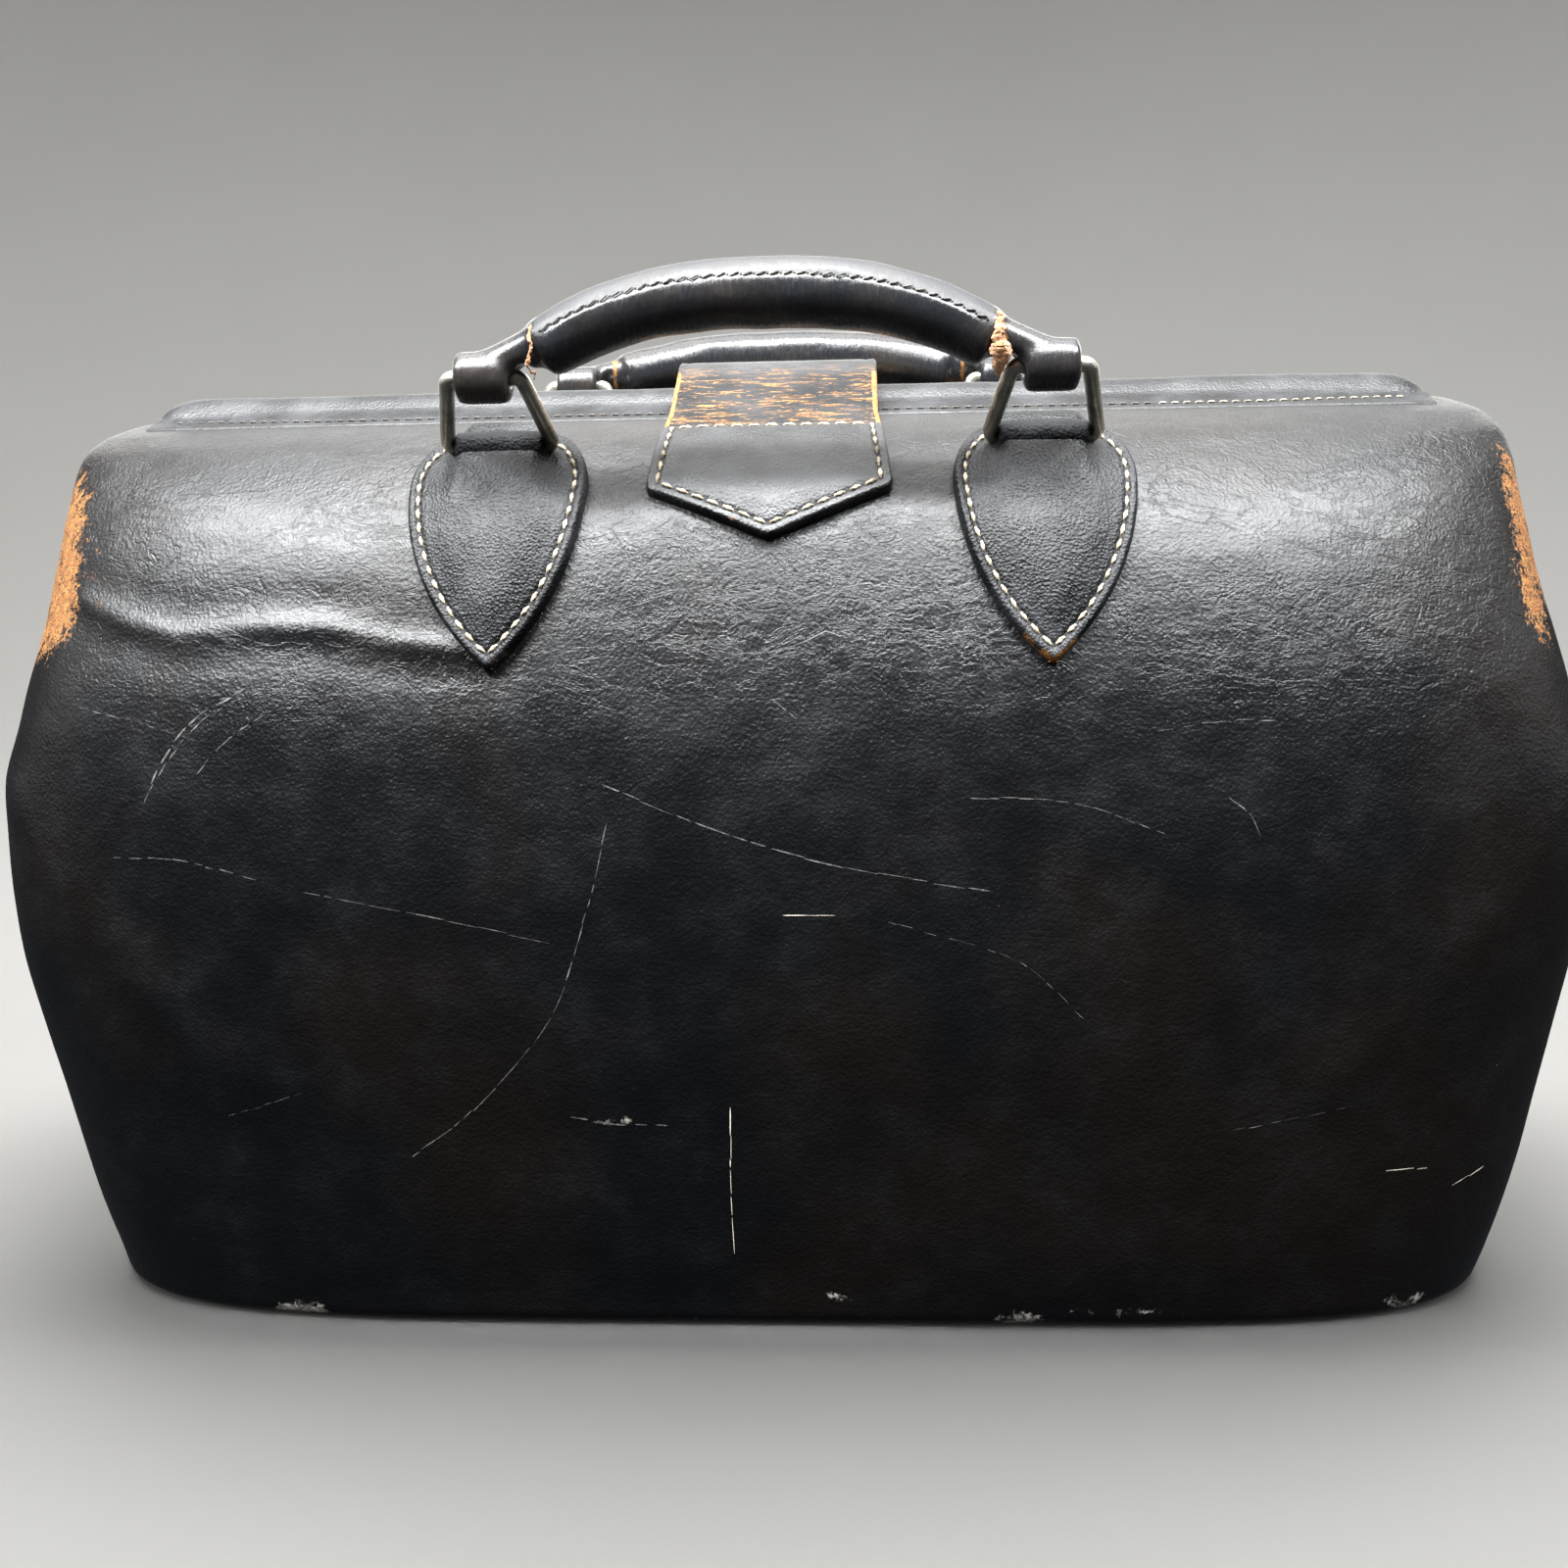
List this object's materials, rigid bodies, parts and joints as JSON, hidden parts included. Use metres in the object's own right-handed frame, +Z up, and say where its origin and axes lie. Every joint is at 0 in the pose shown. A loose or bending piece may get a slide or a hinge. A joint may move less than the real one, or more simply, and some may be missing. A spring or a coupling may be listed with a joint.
{
  "type": "doctor bag",
  "caption": "Black leather doctor bag: hinged steel frame that opens as two jaws, stiff leather walls, twin handles on wire rings and a sewn closing strap with hasp.",
  "frame": {"origin": "middle of the base, on the surface that the bag stands on", "axes": "+Z up, +X along the bag's length, -Y towards the side that the closing strap is sewn to"},
  "size_m": [0.4606, 0.1934, 0.2843],
  "materials": {
    "leather_black": "satin, worn to tan at the edges",
    "leather_handle": "polished",
    "lining": "matt cotton",
    "board": "matt",
    "frame_steel": "satin black",
    "ring_nickel": "dull nickel",
    "lock_brass": "aged",
    "cord_thread": "twisted cord"
  },
  "bodies": {
    "root": {"base_panel": "leather_black", "base_board": "board", "base_lining": "lining", "front_panel_lower": "leather_black", "back_panel_lower": "leather_black", "right_gusset": "leather_black", "left_gusset": "leather_black", "front_panel_flex": "leather_black", "back_panel_flex": "leather_black", "front_lining_lower": "lining", "back_lining_lower": "lining", "right_hinge_plate": "frame_steel", "left_hinge_plate": "frame_steel", "right_hinge_pin": "frame_steel", "left_hinge_pin": "frame_steel"},
    "front_jaw": {"front_frame": "frame_steel", "front_frame_cover": "leather_black", "front_panel_upper": "leather_black", "front_lining_upper": "lining", "front_right_tab": "leather_black", "front_left_tab": "leather_black", "strap_anchor": "leather_black"},
    "back_jaw": {"back_frame": "frame_steel", "back_frame_cover": "leather_black", "back_panel_upper": "leather_black", "back_lining_upper": "lining", "back_right_tab": "leather_black", "back_left_tab": "leather_black", "lock_case": "lock_brass"},
    "closing_strap": {"strap": "leather_black", "strap_hasp": "lock_brass", "hasp_rivets": "lock_brass"},
    "lock_slide": {"lock_button": "lock_brass"},
    "front_left_hanger": {"front_left_ring": "ring_nickel"},
    "front_right_hanger": {"front_right_ring": "ring_nickel"},
    "back_left_hanger": {"back_left_ring": "ring_nickel"},
    "back_right_hanger": {"back_right_ring": "ring_nickel"},
    "front_grip": {"front_handle": "leather_handle", "front_handle_core": "cord_thread"},
    "back_grip": {"back_handle": "leather_handle", "back_handle_core": "cord_thread"}
  },
  "joints": [
    {"name": "front_jaw_open", "type": "hinge", "parent": "root", "child": "front_jaw", "pos_m": [0, 0, 0.142], "axis": [1, 0, 0], "range_deg": [0, 35], "deforming": ["front_panel_flex"]},
    {"name": "back_jaw_open", "type": "hinge", "parent": "root", "child": "back_jaw", "pos_m": [0, 0, 0.142], "axis": [-1, 0, 0], "range_deg": [0, 35], "deforming": ["back_panel_flex"]},
    {"name": "strap_lift", "type": "hinge", "parent": "front_jaw", "child": "closing_strap", "pos_m": [0, -0.0114, 0.2629], "axis": [1, 0, 0], "range_deg": [0, 80]},
    {"name": "lock_button_slide", "type": "slide", "parent": "back_jaw", "child": "lock_slide", "axis": [1, 0, 0], "range_m": [0, 0.005], "stiffness_N_per_m": 200},
    {"name": "front_left_ring_swing", "type": "hinge", "parent": "front_jaw", "child": "front_left_hanger", "pos_m": [-0.072, -0.059, 0.2395], "axis": [1, 0, 0], "range_deg": [-50, 45]},
    {"name": "front_right_ring_swing", "type": "hinge", "parent": "front_jaw", "child": "front_right_hanger", "pos_m": [0.072, -0.059, 0.2395], "axis": [1, 0, 0], "range_deg": [-50, 45]},
    {"name": "front_handle_tilt", "type": "hinge", "parent": "front_left_hanger", "child": "front_grip", "pos_m": [-0.072, -0.07439, 0.25659], "axis": [1, 0, 0], "range_deg": [-20, 70]},
    {"name": "back_left_ring_swing", "type": "hinge", "parent": "back_jaw", "child": "back_left_hanger", "pos_m": [-0.072, 0.059, 0.2395], "axis": [-1, 0, 0], "range_deg": [-15, 75]},
    {"name": "back_right_ring_swing", "type": "hinge", "parent": "back_jaw", "child": "back_right_hanger", "pos_m": [0.072, 0.059, 0.2395], "axis": [-1, 0, 0], "range_deg": [-15, 75]},
    {"name": "back_handle_tilt", "type": "hinge", "parent": "back_left_hanger", "child": "back_grip", "pos_m": [-0.072, 0.0598, 0.26249], "axis": [-1, 0, 0], "range_deg": [-60, 20]}
  ],
  "couplings": [
    {"joint": "front_right_ring_swing", "follows": "front_left_ring_swing", "ratio": 1},
    {"joint": "back_right_ring_swing", "follows": "back_left_ring_swing", "ratio": 1}
  ]
}
